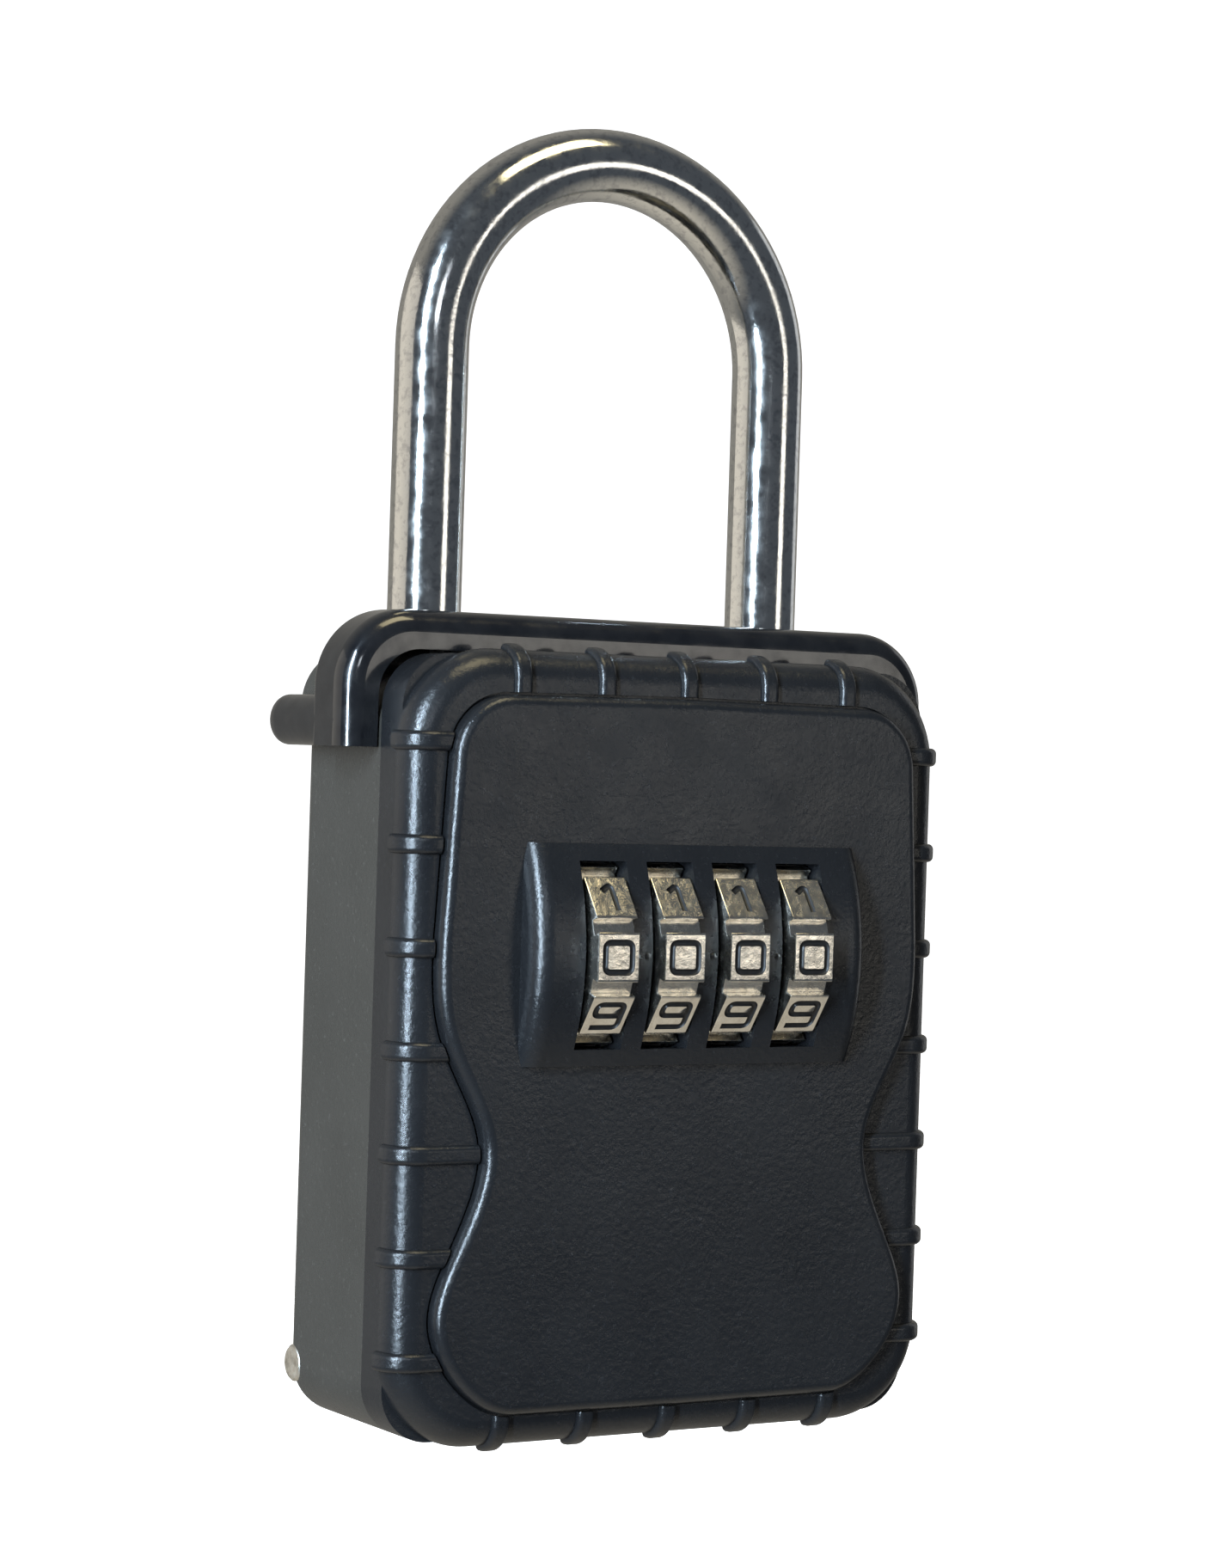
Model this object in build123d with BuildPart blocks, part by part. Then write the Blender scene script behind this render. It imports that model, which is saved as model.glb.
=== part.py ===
"""Key lock box: a key container that tilts on a rear casing, with four dials, a sliding hood and a shackle.

Millimetres. +X right and +Y to the rear as seen from the front, +Z up. The origin is the middle of the base:
Z = 0 is the lowest rib, Y = 0 is midway between the dials' front and the rear face of the casing.
"""

import os
from math import cos, radians, sin

from build123d import *

os.makedirs("parts", exist_ok=True)

# ---- driving dimensions -------------------------------------------------------------------------------------
GAP = 0.35  # clearance between bodies that move past each other
FAR = 60.0  # past the end of whatever a cut goes through
RUN = 0.05  # radial running clearance of pins and shafts

FRAME_HALF = 41.25  # half width of the front frame, without its ribs
FRAME_LOW = 0.8
FRAME_TOP = 103.5
FRAME_MID = (FRAME_LOW + FRAME_TOP) / 2
FRAME_CORNER = 13.0
FRAME_EDGE = 3.9  # rounding of the frame's front edge
FRONT_Y = -12.8  # flat front face of the frame
FRAME_BACK_Y = -8.8
INSET = 0.8  # the side walls stand this far inside the frame
WALL = 2.2

SHELL_HALF = FRAME_HALF - INSET
SHELL_LOW = FRAME_LOW + INSET
SHELL_TOP = 100.2  # top wall, below the hood
SHELL_REAR_TOP = 93.2  # walls below the rear casing's head
HEAD_STEP_Y = 6.5
SHELL_REAR_Y = 19.7
SHELL_CORNER = 7.0
SHELL_FRONT_TOP = FRAME_TOP - INSET  # in front of the hood the top wall stands higher

PANEL_FACE_Y = -15.0
PANEL_SEAT_Y = FRONT_Y + 0.6  # the panel stands in a shallow seat
PANEL_MARGIN = 0.35  # groove between the panel and the frame's lip

RIB_PROUD = 0.8
RIB_WIDTH = 2.5
RIB_RUN = 15.0  # ribs start this far in from the frame's side, below the panel
SIDE_RIB_TOP = 91.4
SIDE_RIB_PITCH = 13.14
SIDE_RIBS = 7
END_RIB_PITCH = 12.61
END_RIBS = 5

DIAL_Z = 64.5
DIAL_Y = -8.8
DIAL_R = 13.0
DIAL_TIP_R = 13.3  # corners of the ten flat pads, rounded off
DIAL_WIDTH = 6.1
DIAL_PITCH = 10.03
DIAL_X = [(i - 1.5) * DIAL_PITCH for i in range(4)]
DIGITS = 10
SPINDLE_R = 2.0
SLOT_WIDTH = 7.0
SLOT_HEIGHT = 24.3
HOUSING_HALF = 25.6
HOUSING_HEIGHT = 28.7
HOUSING_FRONT_Y = -19.4
HOUSING_R = 33.0

DISC_R = 8.0
DISC_WIDTH = 1.6
GATE_DEPTH = 1.9
GATE_WIDTH = 2.6
BAR_IN = 1.2  # lock bar's travel into the gates
BAR_OUT = 1.1  # and rearwards, into the hood's tongue plate
BAR_Y = 6.0
BAR_THICK = 1.5
BAR_LOW = DIAL_Z - 2.0
RISER_Y = 5.0
RISER_THICK = 1.3
RISER_LOW = 70.0
RISER_TOP = 102.5
NOSE_LOW = 101.5
NOSE_REAR_Y = 7.5

CHAMBER_HALF = 21.4
CHAMBER_LOW = 47.6
CHAMBER_TOP = 79.5
CHAMBER_REAR_Y = 10.2
CHAMBER_WALL = 1.2

PIN_Y = 16.9
PIN_Z = 8.25
PIN_R = 2.45
LUG_R = 4.0
LUG_HALF_Y = 2.5

CASING_REAR_Y = 21.8
HEAD_LOW = 93.6
HEAD_TOP = 103.8
HEAD_FRONT_Y = 7.0
PLATE_HALF = 37.7
PLATE_FRONT_Y = 19.5
PLATE_LOW = 15.6

HOOD_TRAVEL = 2.4
HOOD_HALF = 45.8
HOOD_TOP = 108.4
HOOD_INNER_HALF = SHELL_HALF + GAP
HOOD_INNER_TOP = SHELL_TOP + HOOD_TRAVEL + 0.6
HOOD_ARM_LOW = 90.4
HOOD_FRONT_Y = -2.8
HOOD_REAR_Y = 6.6
PEG_Z = 93.7
PEG_HALF_Z = 3.35
PEG_HALF_X = 2.45
PEG_TIP_Y = 20.4

SHACKLE_HALF = 26.8
SHACKLE_R = 4.95
SHACKLE_Y = 11.8
ARC_Z = 144.2
LEG_BORE_R = SHACKLE_R + 0.1
SHORT_LEG_Z = 94.6
LONG_LEG_Z = 80.2

FRONT_WALL_BACK_Y = -10.4
SHELF_HALF = 12.0
SHELF_REAR_Y = 10.0
SHELF_GAP = 0.5
TONGUE_IN = 5.5
TONGUE_OUT = 9.0
TONGUE_Y = 7.7
TONGUE_THICK = 1.6
RISER_HALF = 4.0
WINDOW_HALF = 20.3
WINDOW_HALF_Z = 13.9
PANEL_ROOM_R = DISC_R + GAP
CHAMBER_SCREW_X = 17.0
CHAMBER_SCREW_Z = (44.8, 83.0)
PANEL_SCREWS = [(x, z) for x in (-24.0, 24.0) for z in (20.0, 90.0)]

PANEL_SCREW_LENGTH = 3.2
FLANGE_REAR_Y = -9.2
SPINDLE_HALF = 22.6
CLIP_R = 3.0
LEAF_HALF = 19.6
LEAF_HALF_SPAN = 5.5
LEAF_FRONT_Y = -10.0
LEAF_THICK = 0.45
LEAF_RISE = 2.2
LEAF_FOOT = 0.8
LEAF_WIDTH = 3.2
LEAF_STRIP = 3.0  # depth of the flat strip that joins the leaves
GROOVE_DEPTH = 0.95
GROOVE_WIDTH = 1.9
HUB_R = 9.0
SPRING_Z = 88.0
SPRING_R = 2.0
SPRING_TURNS = 8
SPRING_WIRE_R = 0.3
LEVER_X = 12.0
LEVER_Y = 10.5
LEVER_Z = 56.0
LEVER_LENGTH = 11.0
LEVER_THICK = 1.2
LEVER_WIDTH = 5.0
LEVER_TAB_HALF = 1.6
LEVER_TAB_REACH = 3.4
RIVET_HEAD_R = 2.2
RIVET_HEAD = 0.8
LEVER_PIVOT_R = 1.2

HEAD_CORNER = 8.0
RIM_LOW = 24.0
RIM_THICK = 1.8
RIM_DEPTH = 2.5
LUG_IN = 19.0
LUG_OUT = 30.0
LUG_JOIN = 6.0  # height over which a lug joins the plate
COVER_THICK = 1.5
COVER_SETBACK = 0.5
COVER_GAP = 0.2
COVER_SCREWS = [(x, y) for x in (-35.2, 35.2) for y in (9.6, 14.6)]  # beside the shackle's bores
RECESS_HALF = 20.5
RECESS_LOW = 100.5
RECESS_REAR_Y = 14.4
GUIDE_X = 16.0
GUIDE_Y = 10.0
GUIDE_R = 1.3
GUIDE_LOW = 96.4

LOCK_Z = 96.4  # underside of the lock plate's tip
LOCK_LOW = 93.9
LOCK_TOP = 99.0
LOCK_Y = 14.4
LOCK_HALF_Y = 1.5
LOCK_LEFT = -21.3
LOCK_RIGHT = 10.0
LOCK_TRAVEL = 2.4
KNOB_X = 0.0
KNOB_TOP = 91.8
KNOB_R = 3.2
KNOB_HEIGHT = 4.2
KNOB_NECK_R = 1.6
KNOB_PIN_R = 1.0
KNOB_PIN_LENGTH = 3.0
STOP_Z = 80.9
STOP_THICK = 1.3
STOP_PROUD = 1.0
STOP_GROOVE = 0.7

HOOD_CORNER = 10.0
ROOF_LOW = 106.9
ROOF_GAP = 0.4
POCKET_HALF = 21.0
POCKET_FRONT_Y = 0.1
PEG_NOSE = 3.0
YOKE_HALF = 19.6
YOKE_THICK = 1.4
YOKE_FRONT_Y = POCKET_FRONT_Y + 0.2
YOKE_REAR_Y = RECESS_REAR_Y - 0.6
YOKE_SCREWS = [(-12.0, 3.5), (12.0, 3.5)]
TONGUE_LOW = SHELL_TOP + 0.3
WEB_LOW = 103.1
WEB_TOP = 103.85
WEB_HALF = RISER_HALF + 0.4

SCREW_HEAD_R = 1.9
SCREW_HEAD_HEIGHT = 1.1
SCREW_SOCKET_R = 0.7
SCREW_SOCKET_DEPTH = 0.5
SCREW_R = 0.95


# ---- helpers ------------------------------------------------------------------------------------------------
def write(piece, name):
    """Label a finished piece and write its STEP file."""
    piece.part.label = name
    export_step(piece.part, f"parts/{name}.step")


def block(low, high, mode=Mode.ADD):
    """A box between two opposite corners, for use inside a BuildPart block."""
    size = [b - a for a, b in zip(low, high)]
    middle = [(a + b) / 2 for a, b in zip(low, high)]
    with Locations(tuple(middle)):
        Box(*size, mode=mode)


def bar(start, end, radius, mode=Mode.ADD):
    """A round bar from start to end, for use inside a BuildPart block."""
    start, end = Vector(*start), Vector(*end)
    along = end - start
    with BuildSketch(Plane(origin=start, z_dir=along)) as section:
        Circle(radius)
    extrude(section.sketch, amount=along.length, mode=mode)


def wall_profile(half, low, top, corner):
    """A rounded rectangle in the X-Z plane, for use inside a BuildSketch on Plane.XZ."""
    with Locations((0, (low + top) / 2)):
        RectangleRounded(2 * half, top - low, corner)


def panel_outline(shrink=0.0):
    """The hourglass outline of the raised panel, drawn in (x, z) and mirrored about X = 0."""
    with BuildLine() as outline:
        right = [
            (0, 97.9 - shrink),
            (27.5, 97.6 - shrink),
            (35.6 - shrink, 89.6),
            (36.9 - shrink, 66.0),
            (35.6 - shrink, 53.8),
            (29.5 - shrink, 39.9),
            (33.4 - shrink, 26.4),
            (36.1 - shrink, 17.5),
            (32.4 - shrink, 9.6),
            (24.5, 5.4 + shrink),
            (0, 5.3 + shrink),
        ]
        Line(right[0], right[1])
        TangentArc(right[1], right[2], tangent=(1, -0.03))
        Line(right[2], right[3])
        Spline(
            *right[3:10],
            tangents=[(0.02, -1), (-1, -0.02)],
            tangent_scalars=[1.0, 1.0],
        )
        Line(right[9], right[10])
        Line(right[10], right[0])
    make_face(outline.edges())
    mirror(about=Plane.YZ)


def make_rib(reach):
    """A half-round rib that runs outwards in +X across the frame and bends over its edge to its back."""
    with BuildPart() as rib:
        with BuildSketch():
            with BuildLine():
                outer = FRAME_EDGE + RIB_PROUD
                start = (reach - RIB_RUN, FRONT_Y - RIB_PROUD)
                bend = (reach - FRAME_EDGE, FRONT_Y - RIB_PROUD)
                across = Line(start, bend)
                turn = JernArc(bend, (1, 0), outer, 90)
                down = Line(turn @ 1, (reach + RIB_PROUD, FRAME_BACK_Y))
                Polyline(down @ 1, (reach - 1, FRAME_BACK_Y), (reach - RIB_RUN, FRONT_Y + 0.7), across @ 0)
            make_face()
        extrude(amount=RIB_WIDTH / 2, both=True)
        long_edges = [e for e in rib.edges() if abs(abs(e.center().Z) - RIB_WIDTH / 2) < 0.01]
        rounded = [e for e in long_edges if e.center().Y < FRONT_Y - RIB_PROUD / 2 or e.center().X > reach]
        bends = [e for e in long_edges if e.geom_type == GeomType.CIRCLE]
        fillet(list({*rounded, *bends}), RIB_PROUD * 0.95)
    return rib.part


def screw(x, y, z, direction, length):
    """A pan-head screw whose head's underside is at the point, driven along direction."""
    point, axis = Vector(x, y, z), Vector(*direction)
    top = point - axis * SCREW_HEAD_HEIGHT
    bar(point, point + axis * length, SCREW_R)
    bar(top, point, SCREW_HEAD_R)
    bar(top, top + axis * SCREW_SOCKET_DEPTH, SCREW_SOCKET_R, mode=Mode.SUBTRACT)


# ---- front container ----------------------------------------------------------------------------------------
side_rib = make_rib(FRAME_HALF)
end_rib = make_rib((FRAME_TOP - FRAME_LOW) / 2)

with BuildPart() as container_casting:
    # walls behind the frame, cut down at the rear where the casing's head sits
    with BuildSketch(Plane.XZ.offset(-SHELL_REAR_Y)):
        wall_profile(SHELL_HALF, SHELL_LOW, SHELL_TOP, SHELL_CORNER)
    extrude(amount=SHELL_REAR_Y - FRAME_BACK_Y)
    rear_bottom = container_casting.edges().filter_by(Axis.X).group_by(Axis.Z)[0].sort_by(Axis.Y)[-1]
    fillet(rear_bottom, 4.0)
    with BuildSketch(Plane.XZ.offset(-HOOD_FRONT_Y + GAP)):
        wall_profile(SHELL_HALF, SHELL_LOW, SHELL_FRONT_TOP, SHELL_CORNER)
    extrude(amount=HOOD_FRONT_Y - GAP - FRAME_BACK_Y)
    # front frame with a rounded front edge
    with BuildSketch(Plane.XZ.offset(-FRAME_BACK_Y)):
        wall_profile(FRAME_HALF, FRAME_LOW, FRAME_TOP, FRAME_CORNER)
    extrude(amount=FRAME_BACK_Y - FRONT_Y)
    front_edge = container_casting.faces().sort_by(Axis.Y)[0].edges()
    fillet(front_edge, FRAME_EDGE)
    block((-FAR, HEAD_STEP_Y, SHELL_REAR_TOP), (FAR, FAR, SHELL_REAR_TOP + FAR), mode=Mode.SUBTRACT)
    # cavity behind the front wall
    with BuildSketch(Plane.XZ.offset(-SHELL_REAR_Y)):
        wall_profile(SHELL_HALF - WALL, SHELL_LOW + WALL, SHELL_TOP - WALL, SHELL_CORNER - WALL)
    extrude(amount=SHELL_REAR_Y - FRONT_WALL_BACK_Y, mode=Mode.SUBTRACT)
    # shelf that takes the hood's tongues, with its slots and the lock bar's opening
    block((-SHELF_HALF, HEAD_STEP_Y - 1, SHELL_TOP - WALL), (SHELF_HALF, SHELF_REAR_Y, SHELL_TOP))
    for side in (-1, 1):
        block(
            (min(side * TONGUE_IN, side * TONGUE_OUT) - GAP, TONGUE_Y - GAP, SHELL_TOP - WALL),
            (max(side * TONGUE_IN, side * TONGUE_OUT) + GAP, TONGUE_Y + TONGUE_THICK + GAP, SHELL_TOP),
            mode=Mode.SUBTRACT,
        )
    block(
        (-RISER_HALF - GAP, RISER_Y - BAR_IN - GAP, SHELL_TOP - WALL),
        (RISER_HALF + GAP, RISER_Y + RISER_THICK + BAR_OUT + GAP, SHELL_TOP),
        mode=Mode.SUBTRACT,
    )
    # window for the dials
    block(
        (-WINDOW_HALF, FRONT_Y - 1, DIAL_Z - WINDOW_HALF_Z),
        (WINDOW_HALF, FRONT_WALL_BACK_Y + 1, DIAL_Z + WINDOW_HALF_Z),
        mode=Mode.SUBTRACT,
    )
    spindle_end = (SPINDLE_HALF + GAP, DIAL_Y, DIAL_Z)
    bar((-spindle_end[0], DIAL_Y, DIAL_Z), spindle_end, CLIP_R + 0.2, mode=Mode.SUBTRACT)
    # ribs round the frame: half-round bars that bend over its rounded edge
    for i in range(SIDE_RIBS):
        with Locations((0, 0, SIDE_RIB_TOP - i * SIDE_RIB_PITCH)):
            add(side_rib)
            add(side_rib, rotation=(0, 180, 0))
    for i in range(END_RIBS):
        with Locations(((i - 2) * END_RIB_PITCH, 0, FRAME_MID)):
            add(end_rib, rotation=(0, 90, 0))
            add(end_rib, rotation=(0, -90, 0))
    # seat for the panel, which also trims the ribs
    with BuildSketch(Plane.XZ.offset(-PANEL_SEAT_Y)):
        panel_outline(-PANEL_MARGIN)
    extrude(amount=10, mode=Mode.SUBTRACT)
    # hinge pin bores and screw holes
    for side in (-1, 1):
        bar((side * 36, PIN_Y, PIN_Z), (side * 45, PIN_Y, PIN_Z), PIN_R, mode=Mode.SUBTRACT)
    for x in (-CHAMBER_SCREW_X, CHAMBER_SCREW_X):
        for z in CHAMBER_SCREW_Z:
            bar((x, FRONT_WALL_BACK_Y + 1, z), (x, PANEL_SEAT_Y, z), SCREW_R, mode=Mode.SUBTRACT)
    for x, z in PANEL_SCREWS:
        bar((x, FRONT_WALL_BACK_Y + 1, z), (x, PANEL_SEAT_Y - 1, z), SCREW_R, mode=Mode.SUBTRACT)

# the frame and the tub behind it meet in line with the hood's front, where the top wall steps down
seam = Plane.XZ.offset(GAP - HOOD_FRONT_Y)
with BuildPart() as container_frame:
    add(container_casting.part)
    split(bisect_by=seam, keep=Keep.TOP)
write(container_frame, "container_frame")

with BuildPart() as container_shell:
    add(container_casting.part)
    split(bisect_by=seam, keep=Keep.BOTTOM)
write(container_shell, "container_shell")

with BuildPart() as front_panel:
    with BuildSketch(Plane.XZ.offset(-PANEL_SEAT_Y)):
        panel_outline()
    extrude(amount=PANEL_SEAT_Y - PANEL_FACE_Y)
    fillet(front_panel.faces().sort_by(Axis.Y)[0].edges(), 1.4)
    # dial housing, bulged over the dials' height
    with BuildSketch(Plane.YZ.offset(-HOUSING_HALF)) as housing_side:
        with Locations((HOUSING_FRONT_Y + HOUSING_R, DIAL_Z)):
            Circle(HOUSING_R)
        with Locations(((HOUSING_FRONT_Y + PANEL_SEAT_Y) / 2, DIAL_Z)):
            Rectangle(PANEL_SEAT_Y - HOUSING_FRONT_Y, HOUSING_HEIGHT, mode=Mode.INTERSECT)
    extrude(amount=2 * HOUSING_HALF)
    housing_ends = front_panel.edges().filter_by(GeomType.CIRCLE).sort_by(Axis.Y)[:2]
    fillet(housing_ends, 2.6)
    # slots and the room behind them
    for x in DIAL_X:
        block(
            (x - SLOT_WIDTH / 2, -30, DIAL_Z - SLOT_HEIGHT / 2),
            (x + SLOT_WIDTH / 2, -10, DIAL_Z + SLOT_HEIGHT / 2),
            mode=Mode.SUBTRACT,
        )
        bar(
            (x - SLOT_WIDTH / 2, DIAL_Y, DIAL_Z),
            (x + SLOT_WIDTH / 2, DIAL_Y, DIAL_Z),
            DIAL_TIP_R + GAP,
            mode=Mode.SUBTRACT,
        )
    bar((-WINDOW_HALF, DIAL_Y, DIAL_Z), (WINDOW_HALF, DIAL_Y, DIAL_Z), PANEL_ROOM_R, mode=Mode.SUBTRACT)
    for x, z in PANEL_SCREWS:
        bar((x, PANEL_SEAT_Y + 1, z), (x, PANEL_SEAT_Y - 1.6, z), SCREW_R, mode=Mode.SUBTRACT)
write(front_panel, "front_panel")

with BuildPart() as panel_screws:
    for x, z in PANEL_SCREWS:
        screw(x, FRONT_WALL_BACK_Y, z, (0, -1, 0), PANEL_SCREW_LENGTH)
write(panel_screws, "panel_screws")

with BuildPart() as hinge_pin:
    bar((-SHELL_HALF, PIN_Y, PIN_Z), (SHELL_HALF, PIN_Y, PIN_Z), PIN_R)
    chamfer(hinge_pin.edges().filter_by(GeomType.CIRCLE), 0.3)
write(hinge_pin, "hinge_pin")

# ---- dial chamber and what it holds -------------------------------------------------------------------------
with BuildPart() as dial_chamber:
    block((-CHAMBER_HALF, FRONT_WALL_BACK_Y, CHAMBER_LOW), (CHAMBER_HALF, CHAMBER_REAR_Y, CHAMBER_TOP))
    fillet(dial_chamber.edges().filter_by(Axis.X).group_by(Axis.Y)[-1], 2.0)
    for x in (-CHAMBER_SCREW_X, CHAMBER_SCREW_X):
        for z in CHAMBER_SCREW_Z:
            block((x - 4.4, FRONT_WALL_BACK_Y, z - 4.0), (x + 4.4, FLANGE_REAR_Y, z + 4.0))
    inner = CHAMBER_HALF - CHAMBER_WALL
    block(
        (-inner, FRONT_WALL_BACK_Y, CHAMBER_LOW + CHAMBER_WALL),
        (inner, CHAMBER_REAR_Y - CHAMBER_WALL, CHAMBER_TOP - CHAMBER_WALL),
        mode=Mode.SUBTRACT,
    )
    block(
        (-RISER_HALF - GAP, RISER_Y - BAR_IN - GAP, CHAMBER_TOP - 2 * CHAMBER_WALL),
        (RISER_HALF + GAP, RISER_Y + RISER_THICK + BAR_OUT + GAP, CHAMBER_TOP + 1),
        mode=Mode.SUBTRACT,
    )
    bar((-FAR, DIAL_Y, DIAL_Z), (FAR, DIAL_Y, DIAL_Z), SPINDLE_R, mode=Mode.SUBTRACT)
    for x in (-CHAMBER_SCREW_X, CHAMBER_SCREW_X):
        for z in CHAMBER_SCREW_Z:
            bar((x, -20, z), (x, 0, z), SCREW_R, mode=Mode.SUBTRACT)
    lever_hole = (LEVER_X, CHAMBER_REAR_Y - CHAMBER_WALL, LEVER_Z)
    bar(lever_hole, (LEVER_X, CHAMBER_REAR_Y, LEVER_Z), LEVER_PIVOT_R, mode=Mode.SUBTRACT)
write(dial_chamber, "dial_chamber")

with BuildPart() as chamber_screws:
    for x in (-CHAMBER_SCREW_X, CHAMBER_SCREW_X):
        for z in CHAMBER_SCREW_Z:
            screw(x, FLANGE_REAR_Y, z, (0, -1, 0), FLANGE_REAR_Y - PANEL_SEAT_Y - 0.1)
write(chamber_screws, "chamber_screws")

with BuildPart() as dial_spindle:
    bar((-SPINDLE_HALF, DIAL_Y, DIAL_Z), (SPINDLE_HALF, DIAL_Y, DIAL_Z), SPINDLE_R)
    chamfer(dial_spindle.edges().filter_by(GeomType.CIRCLE), 0.3)
write(dial_spindle, "dial_spindle")

with BuildPart() as spindle_clips:
    for side in (-1, 1):
        bar((side * CHAMBER_HALF, DIAL_Y, DIAL_Z), (side * (CHAMBER_HALF + 0.8), DIAL_Y, DIAL_Z), CLIP_R)
    bar((-FAR, DIAL_Y, DIAL_Z), (FAR, DIAL_Y, DIAL_Z), SPINDLE_R, mode=Mode.SUBTRACT)
    block((-30, DIAL_Y - 1.2, DIAL_Z - 4), (30, DIAL_Y + 1.2, DIAL_Z), mode=Mode.SUBTRACT)
write(spindle_clips, "spindle_clips")

with BuildPart() as detent_spring:
    low = CHAMBER_LOW + CHAMBER_WALL
    block((-LEAF_HALF, LEAF_FRONT_Y, low), (LEAF_HALF, LEAF_FRONT_Y + LEAF_STRIP, low + LEAF_THICK))
    for x in DIAL_X:
        with BuildSketch(Plane.YZ.offset(x - LEAF_WIDTH / 2)):
            with BuildLine():
                front = LEAF_FRONT_Y + LEAF_STRIP - 0.5
                middle = front + LEAF_HALF_SPAN
                back = middle + LEAF_HALF_SPAN
                leaf = ThreePointArc((front, low), (middle, low + LEAF_RISE), (back, low))
                under_top = (middle, low + LEAF_RISE - LEAF_THICK)
                under = ThreePointArc((back - LEAF_FOOT, low), under_top, (front + LEAF_FOOT, low))
                Line(leaf @ 1, under @ 0)
                Line(under @ 1, leaf @ 0)
            make_face()
        extrude(amount=LEAF_WIDTH)
write(detent_spring, "detent_spring")

for number, x in enumerate(DIAL_X, start=1):
    with BuildPart() as dial_wheel:
        left = x - DIAL_WIDTH / 2
        with BuildSketch(Plane.YZ.offset(left)):
            with Locations((DIAL_Y, DIAL_Z)):
                RegularPolygon(DIAL_R, DIGITS, major_radius=False, rotation=180 / DIGITS)
                Circle(DIAL_TIP_R, mode=Mode.INTERSECT)
        extrude(amount=DIAL_WIDTH)
        # flat grooves between the digits' pads
        for i in range(DIGITS):
            turn = radians(360 / DIGITS * (i + 0.5))
            foot = Vector(x, DIAL_Y - DIAL_R * cos(turn), DIAL_Z + DIAL_R * sin(turn))
            groove = Plane(origin=foot, x_dir=(1, 0, 0), z_dir=(0, -cos(turn), sin(turn)))
            with BuildSketch(groove.offset(-GROOVE_DEPTH)):
                Rectangle(DIAL_WIDTH + 1, GROOVE_WIDTH)
            extrude(amount=3, mode=Mode.SUBTRACT)
        bar((x - 5, DIAL_Y, DIAL_Z), (x + 5, DIAL_Y, DIAL_Z), HUB_R, mode=Mode.SUBTRACT)
    write(dial_wheel, f"dial_wheel_{number}")
    with BuildPart() as code_disc:
        right = x + DIAL_WIDTH / 2
        bar((left, DIAL_Y, DIAL_Z), (right, DIAL_Y, DIAL_Z), HUB_R)
        bar((right, DIAL_Y, DIAL_Z), (right + DISC_WIDTH, DIAL_Y, DIAL_Z), DISC_R)
        # the true gate faces the lock bar at rest; the second slot, below, is for threading in the bar
        for turn in (0, 270):
            direction = Vector(0, cos(radians(turn)), sin(radians(turn)))
            reach = GATE_DEPTH + 1  # the cut starts outside the rim
            centre_r = DISC_R - GATE_DEPTH + reach / 2
            middle = Vector(right + DISC_WIDTH / 2, DIAL_Y, DIAL_Z) + direction * centre_r
            size = (GATE_WIDTH, reach) if turn else (reach, GATE_WIDTH)
            with Locations(middle):
                Box(DISC_WIDTH, size[0], size[1], mode=Mode.SUBTRACT)
        bar((x - 9, DIAL_Y, DIAL_Z), (x + 9, DIAL_Y, DIAL_Z), SPINDLE_R + RUN, mode=Mode.SUBTRACT)
    write(code_disc, f"code_disc_{number}")

with BuildPart() as lock_bar:
    tooth_x = [x + DIAL_WIDTH / 2 + 0.9 for x in DIAL_X]
    block((tooth_x[0] - 1.2, BAR_Y, BAR_LOW), (tooth_x[-1] + 0.7, BAR_Y + BAR_THICK, BAR_LOW + 4))
    for x in tooth_x:
        block((x - 0.6, DIAL_Y + DISC_R + 0.3, DIAL_Z - 0.9), (x + 0.6, BAR_Y, DIAL_Z + 0.9))
    block((-RISER_HALF, BAR_Y, BAR_LOW), (RISER_HALF, BAR_Y + BAR_THICK, RISER_LOW + 1.5))
    block((-RISER_HALF, RISER_Y, RISER_LOW), (RISER_HALF, RISER_Y + RISER_THICK, RISER_TOP))
    block((-RISER_HALF, RISER_Y, NOSE_LOW), (RISER_HALF, NOSE_REAR_Y, RISER_TOP))
write(lock_bar, "lock_bar")

with BuildPart() as lock_bar_spring:
    coil_length = RISER_Y - FRONT_WALL_BACK_Y - 0.8
    with BuildLine():
        coil = Helix(
            pitch=coil_length / SPRING_TURNS,
            height=coil_length,
            radius=SPRING_R,
            center=(0, FRONT_WALL_BACK_Y + 0.4, SPRING_Z),
            direction=(0, 1, 0),
        )
    with BuildSketch(Plane(origin=coil @ 0, z_dir=coil % 0)):
        Circle(SPRING_WIRE_R)
    sweep(path=coil, is_frenet=True)
write(lock_bar_spring, "lock_bar_spring")

with BuildPart() as reset_pivot:
    head_y = LEVER_Y + LEVER_THICK + RUN
    bar((LEVER_X, CHAMBER_REAR_Y - CHAMBER_WALL, LEVER_Z), (LEVER_X, head_y, LEVER_Z), LEVER_PIVOT_R)
    bar((LEVER_X, head_y, LEVER_Z), (LEVER_X, head_y + RIVET_HEAD, LEVER_Z), RIVET_HEAD_R)
write(reset_pivot, "reset_pivot")

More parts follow.
